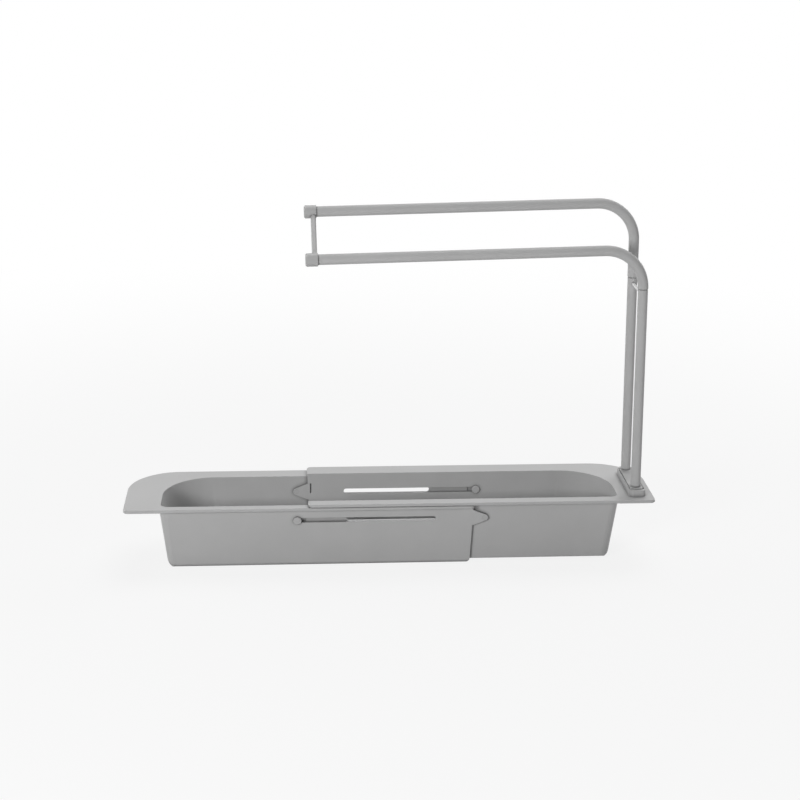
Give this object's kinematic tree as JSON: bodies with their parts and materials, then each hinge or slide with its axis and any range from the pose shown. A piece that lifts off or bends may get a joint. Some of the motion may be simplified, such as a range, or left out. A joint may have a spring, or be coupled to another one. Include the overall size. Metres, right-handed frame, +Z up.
{
  "type": "telescopic sink caddy",
  "caption": "Telescopic kitchen sink caddy: nested trays slide on pins in guide slots to span a sink by their lugs, with a lift-out towel hanger of stepped bars.",
  "frame": {"origin": "under the middle of the retracted caddy, level with the outer tray's underside", "axes": "+X along the trays towards the hanger, +Y to the back, +Z up"},
  "size_m": [0.41, 0.088, 0.2794],
  "materials": {
    "tray_moulding": "satin moulded grey",
    "pin_moulding": "satin moulded grey",
    "hanger_tube": "satin extruded grey",
    "hanger_fitting": "satin moulded grey",
    "brace_rod": "satin pale rod"
  },
  "bodies": {
    "left_tray": {"outer_tray": "tray_moulding", "outer_pin_front": "pin_moulding", "outer_pin_back": "pin_moulding"},
    "right_tray": {"inner_tray": "tray_moulding", "inner_pin_front": "pin_moulding", "inner_pin_back": "pin_moulding"},
    "towel_hanger": {"hanger_foot": "hanger_fitting", "front_post": "hanger_tube", "back_post": "hanger_tube", "post_brace": "brace_rod", "front_bar": "hanger_tube", "back_bar": "hanger_tube", "end_bridge": "hanger_fitting"}
  },
  "joints": [
    {"name": "tray_slide", "type": "slide", "parent": "left_tray", "child": "right_tray", "axis": [1, 0, 0], "range_m": [0, 0.105]},
    {"name": "hanger_lift", "type": "slide", "parent": "right_tray", "child": "towel_hanger", "axis": [0, 0, 1], "range_m": [0, 0.012]}
  ]
}
